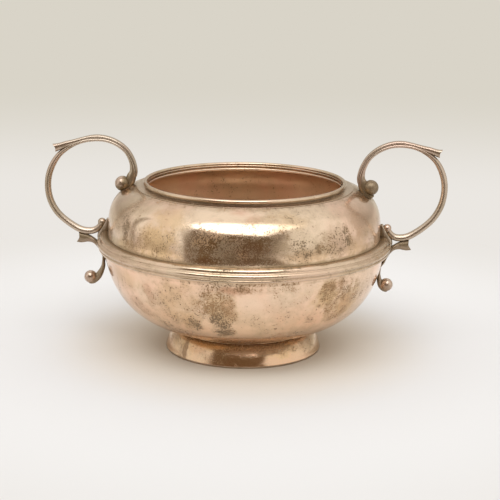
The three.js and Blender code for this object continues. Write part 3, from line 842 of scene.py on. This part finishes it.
def spreadFootProfile(values):
    outside = smoothLine([(seatOuter, footTop), (29.7, 8.8), (30.9, 7.7), (31.8, 6.3), (32.5, 4.8),
                          (33.1, 3.1), (33.5, 1.6), (footBulge - 0.15, footBase)], 7)
    inside = smoothLine([(32.6, footBase), (32.0, 3.0), (31.2, 5.0), (30.4, 6.3), (29.4, 7.3),
                         (seatInner, footTop - values["wall"])], 5)
    top = spaced([(seatInner, footTop), (seatOuter, footTop)], 0.4)
    return [*outside, *inside, *top]


def footBaseProfile():
    outer, lowRound, topRound = footBulge - 0.1, 0.15, 0.2
    inner = outer - 1.8
    edge = [*arc(outer - lowRound, lowRound, lowRound, lowRound, -90, 0, 5),
            *arc(outer - topRound, footBase - topRound, topRound, topRound, 0, 90, 6)]
    return [*edge, *spaced([edge[-1], (inner, footBase), (inner, 0), edge[0]], 0.4)[1:]]


turnedPiece("lowerBowl", lowerBowlProfile(bodyValues), "lower_bowl", lowerSilverWarmLit)
turnedPiece("upperShoulder", upperShoulderProfile(bodyValues), "upper_shoulder", upperSilver)
turnedPiece("neckCollar", neckCollarProfile(), "neck_collar", trimSilver)
turnedPiece("rimWire", rimWireProfile(), "rim_wire", trimSilver)
turnedPiece("girdleBand", girdleProfile(), "girdle_band", trimSilver)
turnedPiece("footNeckWire", footNeckProfile(), "foot_neck_wire", footSilver)
turnedPiece("spreadFoot", spreadFootProfile(bodyValues), "spread_foot", footSilver)
turnedPiece("footBaseWire", footBaseProfile(), "foot_base_wire", baseSilver)
print("turned body made")


# Handles. Places are [distance out from the axis, height] in the handle's own plane.

handleValues = {
    "loopMiddle": (64.7, 70.0),
    "squeezeAngle": 55.0,                # slope of the line along which the right loop is the longer
    "balls": {"upper": 3.3, "curl": 1.8, "tail": 2.8},
    "leafHalf": 1.6,                     # half width of the leaf and of every flat piece
    "leafOverlap": 0.55,                 # how far the leaf sinks into the wire
}

handleSides = {
    "right": {
        "turn": 0.0, "shift": 0.36, "grow": -0.009, "squeeze": -0.027,
        "upperBall": (53.9, 71.7), "curlBall": (61.5, 54.1), "tailBall": (62.0, 29.0),
        "armReach": -0.5,
        "toe": [(56.3, 29.0, 0.25), (57.35, 31.5, 0.42), (58.45, 34.5, 0.4), (59.2, 37.0, 0.35)],
        "tail": [(59.3, 38.6, 0.3), (59.0, 36.2, 0.45), (58.75, 34.2, 0.55), (58.75, 32.2, 0.85),
                 (59.15, 30.2, 1.25), (60.0, 28.2, 1.35), (61.3, 26.9, 1.1), (62.6, 26.3, 0.5)],
    },
    "left": {
        "turn": math.pi, "shift": -0.36, "grow": 0.009, "squeeze": 0.027,
        "upperBall": (52.8, 71.1), "curlBall": (61.9, 53.9), "tailBall": (67.2, 29.2),
        "armReach": 0.5,
        "toe": [(56.6, 29.0, 0.3), (57.7, 31.5, 0.5), (58.9, 34.5, 0.5), (60.0, 37.2, 0.5)],
        "tail": [(61.4, 39.2, 0.5), (61.4, 36.6, 0.65), (61.6, 34.2, 0.9), (62.5, 31.9, 1.2),
                 (63.7, 29.9, 1.5), (65.0, 28.2, 1.4), (66.3, 27.1, 1.1), (67.8, 26.5, 0.4)],
    },
}

# [out, height, outer thickness, inner thickness, half width] of the mean loop, from its root
# under the ball round to its curled end
loopStations = [
    (54.9, 68.4, 0.5, 0.5, 0.9), (53.5, 68.35, 0.9, 0.9, 1.5), (52.0, 68.8, 1.2, 1.3, 1.7),
    (50.6, 69.9, 1.35, 2.2, 1.8), (49.5, 71.7, 1.4, 2.9, 1.85), (48.9, 74.0, 1.35, 2.7, 1.8),
    (48.7, 76.5, 1.2, 1.8, 1.75), (49.7, 80.5, 1.0, 1.15, 1.7), (52.2, 84.8, 0.85, 0.9, 1.7),
    (56.3, 88.0, 0.85, 0.9, 1.7), (61.2, 89.8, 0.85, 0.9, 1.7), (66.5, 90.0, 0.85, 0.9, 1.7),
    (71.7, 89.0, 0.85, 0.9, 1.7), (76.4, 86.7, 1.0, 0.95, 1.7), (80.6, 83.3, 1.2, 1.15, 1.75),
    (83.4, 78.7, 1.4, 1.3, 1.75), (84.9, 73.6, 1.45, 1.3, 1.75), (85.0, 68.2, 1.45, 1.3, 1.75),
    (83.8, 63.1, 1.45, 1.35, 1.75), (81.2, 58.4, 1.4, 1.4, 1.75), (77.6, 54.7, 1.3, 1.5, 1.75),
    (73.3, 51.6, 1.3, 1.6, 1.75), (70.2, 50.1, 1.3, 1.7, 1.75), (67.3, 49.7, 1.3, 1.7, 1.7),
    (65.0, 50.1, 1.3, 1.6, 1.65), (63.3, 51.3, 1.3, 1.4, 1.6), (62.2, 52.8, 1.3, 1.3, 1.5),
    (61.7, 54.0, 1.1, 1.1, 1.3),
]

# The leaf lies along the loop from this station, with these thicknesses, and ends in the spur, whose
# stations are [out, height, outer thickness, inner thickness]
leafFirst = 5
leafThickness = [0.75, 1.0, 1.2, 1.35, 1.5, 1.6, 1.65, 1.9]
spurStations = [
    (74.6, 89.0, 1.0, 1.2), (77.7, 88.1, 1.2, 1.5), (80.2, 87.3, 1.25, 1.7), (81.5, 86.85, 1.6, 1.75),
    (82.2, 86.6, 2.0, 1.75),
]

armStations = [
    (61.0, 39.3, 0.6), (61.9, 41.6, 0.75), (63.1, 43.7, 0.9), (64.7, 45.3, 1.0), (66.3, 46.15, 1.3),
    (67.9, 46.6, 1.7), (69.4, 46.7, 2.05), (70.4, 46.7, 2.2), (71.4, 46.9, 2.4),
]

# The bracket from the curled end down over the girdle
strapStations = [
    (59.0, 55.8, 0.55), (59.4, 54.5, 0.95), (59.8, 53.0, 1.5), (60.1, 51.5, 1.95),
    (60.9, 50.0, 2.0), (61.8, 48.5, 2.05), (62.15, 46.8, 1.8), (61.9, 45.3, 1.4), (61.3, 44.0, 0.9),
]


def bent(x, z, side):
    middle = handleValues["loopMiddle"]
    dx, dz = x - middle[0], z - middle[1]
    double = math.radians(2 * handleValues["squeezeAngle"])
    cos, sin = math.cos(double), math.sin(double)
    grown, squeeze = 1 + side["grow"], side["squeeze"]
    return (middle[0] + side["shift"] + grown * dx - squeeze * (cos * dx + sin * dz),
            middle[1] + grown * dz - squeeze * (sin * dx - cos * dz))


def drawnMesh(name, stations, side, material, steps=160, facePower=1.0, sidePower=1.0, endRadius=0.3,
              fishtail=0.0):
    x, z, outer, inner, half = zip(*stations)
    guide = pointMesh(name, [(across, 0, up) for across, up in zip(x, z)],
                      {"outer": outer, "inner": inner, "half": half})
    return runTree(name, sweepTree, guide, {
        "Steps": steps, "Sides": 32, "Face Power": facePower, "Side Power": sidePower,
        "End Radius": endRadius * mm, "Fishtail": fishtail * mm, "Turn": side["turn"], "Finish": material,
    })


def loopMesh(label, side):
    stations = [(*bent(x, z, side), *sizes) for x, z, *sizes in loopStations]
    return drawnMesh(f"{label}Loop", stations, side, handleSilver, steps=420, facePower=1.15, sidePower=0.85,
                     endRadius=0.6)


# The strip lies on the outside of the loop wire and leaves it as the thumb spur
def leafMesh(label, side):
    width = handleValues["leafHalf"]
    stations = []
    for i, thickness in enumerate(leafThickness):
        before, here, after = loopStations[leafFirst + i - 1:leafFirst + i + 2]
        x, z = bent(here[0], here[1], side)
        across = Vector(bent(after[0], after[1], side)) - Vector(bent(before[0], before[1], side))
        out = here[2] - handleValues["leafOverlap"] + thickness / 2
        outward = Vector((-across[1], across[0])).normalized() * out
        stations.append((x + outward[0], z + outward[1], thickness / 2, thickness / 2, width))
    stations = stations[:-1] + [(*bent(x, z, side), *sizes, width) for x, z, *sizes in spurStations]
    return drawnMesh(f"{label}Leaf", stations, side, handleSilver, steps=260, facePower=0.95,
                     sidePower=0.6, endRadius=0.25, fishtail=0.7)


# The stations of a flat piece are [out, height, half its thickness]
def flatStations(line):
    return [(x, z, half, half, handleValues["leafHalf"]) for x, z, half in line]


def scrollMeshes(label, side):
    line = side["toe"] + [(x + side["armReach"], z, half) for x, z, half in armStations]
    arm = drawnMesh(f"{label}Arm", flatStations(line), side, shadedArmSilver, steps=260, facePower=0.9,
                    sidePower=0.75, endRadius=0.25, fishtail=0.9)
    tail = drawnMesh(f"{label}Tail", flatStations(side["tail"]), side, shadedArmSilver, facePower=1.3,
                     endRadius=0.4)
    return [arm, tail]


def strapMesh(label, side):
    return drawnMesh(f"{label}Strap", flatStations(strapStations), side, handleSilver, steps=140,
                     facePower=0.8, sidePower=0.8, endRadius=0.5)


def ballMesh(label, spot, radius, side, material):
    guide = pointMesh(label, [(spot[0], 0, spot[1])])
    return runTree(label, ballTree, guide, {"Radius": radius * mm, "Turn": side["turn"], "Finish": material})


def makeHandle(label, side):
    pieceFrom(f"{label}HandleLoop", [loopMesh(label, side)], [f"{label}_handle_loop"])
    pieceFrom(f"{label}ThumbLeaf", [leafMesh(label, side)], [f"{label}_thumb_leaf"])
    pieceFrom(f"{label}LowerScroll", scrollMeshes(label, side), [f"{label}_lower_scroll"])
    pieceFrom(f"{label}ShoulderStrap", [strapMesh(label, side)], [f"{label}_shoulder_strap"])
    for kind, radius in handleValues["balls"].items():
        material = darkBallSilver if (label, kind) == ("right", "upper") else ballSilver
        mesh = ballMesh(f"{label}{kind}", side[f"{kind}Ball"], radius, side, material)
        pieceFrom(f"{label}{kind.capitalize()}Ball", [mesh], [f"{label}_{kind}_ball"])


for handleName, handleSide in handleSides.items():
    makeHandle(handleName, handleSide)
print("handles made")


# Floor, world and light

stageValues = {
    "floorColour": (0.712, 0.704, 0.698, 1),
    "floorBounceAndShade": (0.72, 0.66, 0.56, 1),      # painted warm bounce light from the silver and painted shade on the floor near the bowl
    "bounceShadeReach": (95.0, 30.0),
    "floorRadius": 300.0,
    "floorFrontEdge": 215.0,
    "floorFade": (120.0, 240.0),             # where the floor turns into the backdrop's colour
    "floorRoughness": 0.9,
    "floorShine": 0.1,
    "floorSides": 96,
    "backdropLow": (0.831, 0.799, 0.757, 1),
    "backdropHigh": (0.694, 0.658, 0.578, 1),
}


def makeFloor(values):
    radius, front, sides = values["floorRadius"], values["floorFrontEdge"], values["floorSides"]
    turns = [2 * math.pi * i / sides for i in range(sides)]
    outline = [(radius * math.sin(turn), max(-radius * math.cos(turn), -front), 0) for turn in turns]
    mesh = bpy.data.meshes.new("floor")
    mesh.from_pydata([Vector(point) * mm for point in outline], [], [range(sides)])
    floor = newObject("floor", mesh)
    material = bpy.data.materials.new("paleFloor")
    desk = clearedDesk(material)
    far = desk.length(desk.coordinate("Object"))
    # Painted warm bounce light and shade on the floor, strongest near the bowl
    bounceShade = desk.ramp(far, *[reach * mm for reach in values["bounceShadeReach"]])
    shader = desk.add("ShaderNodeBsdfPrincipled",
                      Base_Color=desk.mix(bounceShade, values["floorColour"], values["floorBounceAndShade"]),
                      Roughness=values["floorRoughness"], Specular_IOR_Level=values["floorShine"])
    glow = desk.add("ShaderNodeEmission", Color=values["backdropLow"], Strength=1.0)
    fade = desk.ramp(far, *[reach * mm for reach in values["floorFade"]])
    blend = desk.add("ShaderNodeMixShader")
    desk.feedAll(blend.inputs, [fade, shader.outputs[0], glow.outputs[0]])
    desk.add("ShaderNodeOutputMaterial", Surface=blend.outputs[0])
    mesh.materials.append(material)


# The world is a pale tent. Its front is open and dim behind the camera, with a broad soft light over
# the opening, and its back holds the backdrop that the camera sees. Angles are degrees, either round
# from the front or above the table. An edge is where one colour begins to give way to the next and
# where it is gone.
tentValues = {
    "front": (1.06, 1.04, 1.0, 1),
    "under": (0.80, 0.77, 0.72, 1), "underEdge": (0.0, -8.0),
    "back": (0.50, 0.47, 0.41, 1), "backEdge": (100.0, 128.0),
    "backHigh": (0.79, 0.755, 0.70, 1), "backHighEdge": (8.0, 34.0),
    "backdropHighEdge": (6.0, 0.0), "backdropLowEdge": (-7.0, -11.5),
    "topEdge": (34.0, 66.0),
    "seamColour": (0.20, 0.15, 0.09, 1),
    "seamLeft": -105.0, "seamRight": -99.0, "seamBottom": -30.0, "seamTop": 35.0,
    "seamBlur": (1.0, 5.0),          # at its sides, and at its ends
    "opening": (0.148, 0.090, 0.038, 1),
    "openingLeft": -47.0, "openingRight": 30.0, "openingLean": 0.40,
    "openingTop": 43.0, "openingBottom": -24.0, "openingBlur": 1.8,
    "light": (3.45, 3.5, 3.6, 1), "lightTilt": 57.0, "lightRightDim": 0.45,
    "lightRightEdge": (0.39, 0.41),  # in the flat picture below
    "lightSlant": (0.05, 0.15),      # cosines of the slants between which it fades in
}

# The soft light's edges, in a flat picture of it: [across, up, reach, blur]
lightEdges = [
    (0.18, 1.0, 0.415, 0.012), (1.0, 1.0, 0.681, 0.012), (1.0, 0.0, 0.625, 0.02),
    (-1.0, 0.483, 0.64, 0.012), (0.0, -1.0, 0.36, 0.09), (0.6, -1.0, 0.60, 0.06),
]


def makeWorld(values, stage):
    world = bpy.data.worlds.new("paleTent")
    bpy.context.scene.world = world
    desk = clearedDesk(world)
    ray = desk.coordinate("Generated")
    x, y, z = desk.parts(ray)
    around = desk.times(desk.math("ARCTAN2", x, desk.times(y, -1.0)), 180 / math.pi)
    above = desk.times(desk.math("ARCSINE", z), 180 / math.pi)

    def between(value, low, high, blur):
        return desk.times(desk.ramp(desk.minus(value, low), -blur, blur),
                          desk.ramp(desk.minus(value, high), blur, -blur))

    back = desk.mix(desk.ramp(above, *values["backHighEdge"]), values["back"], values["backHigh"])
    back = desk.mix(desk.ramp(above, *values["backdropHighEdge"]), back, stage["backdropHigh"])
    back = desk.mix(desk.ramp(above, *values["backdropLowEdge"]), back, stage["backdropLow"])
    front = desk.mix(desk.ramp(above, *values["underEdge"]), values["front"], values["under"])
    behind = desk.ramp(desk.math("ABSOLUTE", around), *values["backEdge"])
    tent = desk.mix(behind, front, back)
    tent = desk.mix(desk.ramp(above, *values["topEdge"]), tent, values["front"])
    seam = desk.times(between(around, values["seamLeft"], values["seamRight"], values["seamBlur"][0]),
                      between(above, values["seamBottom"], values["seamTop"], values["seamBlur"][1]))
    tent = desk.mix(seam, tent, values["seamColour"])

    blur = values["openingBlur"]
    right = desk.added(values["openingRight"], above, values["openingLean"])
    opening = desk.times(between(around, values["openingLeft"], right, blur),
                         between(above, values["openingBottom"], values["openingTop"], blur))
    tent = desk.mix(opening, tent, values["opening"])

    # The light is drawn on a plane that faces the bowl from above the opening
    tilt = math.radians(values["lightTilt"])
    facing = desk.dot(ray, (0.0, -math.cos(tilt), math.sin(tilt)))
    depth = desk.most(facing, values["lightSlant"][0])
    across = desk.over(x, depth)
    up = desk.over(desk.dot(ray, (0.0, math.sin(tilt), math.cos(tilt))), depth)
    lit = desk.ramp(facing, *values["lightSlant"])
    for wide, tall, reach, soft in lightEdges:
        inside = desk.added(desk.times(across, wide), up, tall)
        lit = desk.times(lit, desk.ramp(desk.plus(inside, reach), -soft, soft))
    dim = desk.ramp(across, *values["lightRightEdge"], 1.0, values["lightRightDim"])
    tent = desk.mix(desk.times(lit, dim), tent, values["light"])

    shown = desk.add("ShaderNodeBackground", Color=tent, Strength=1.0)
    desk.add("ShaderNodeOutputWorld", Surface=shown.outputs[0])


makeFloor(stageValues)
makeWorld(tentValues, stageValues)
bpy.context.scene.view_settings.view_transform = "Standard"
print("stage ready")
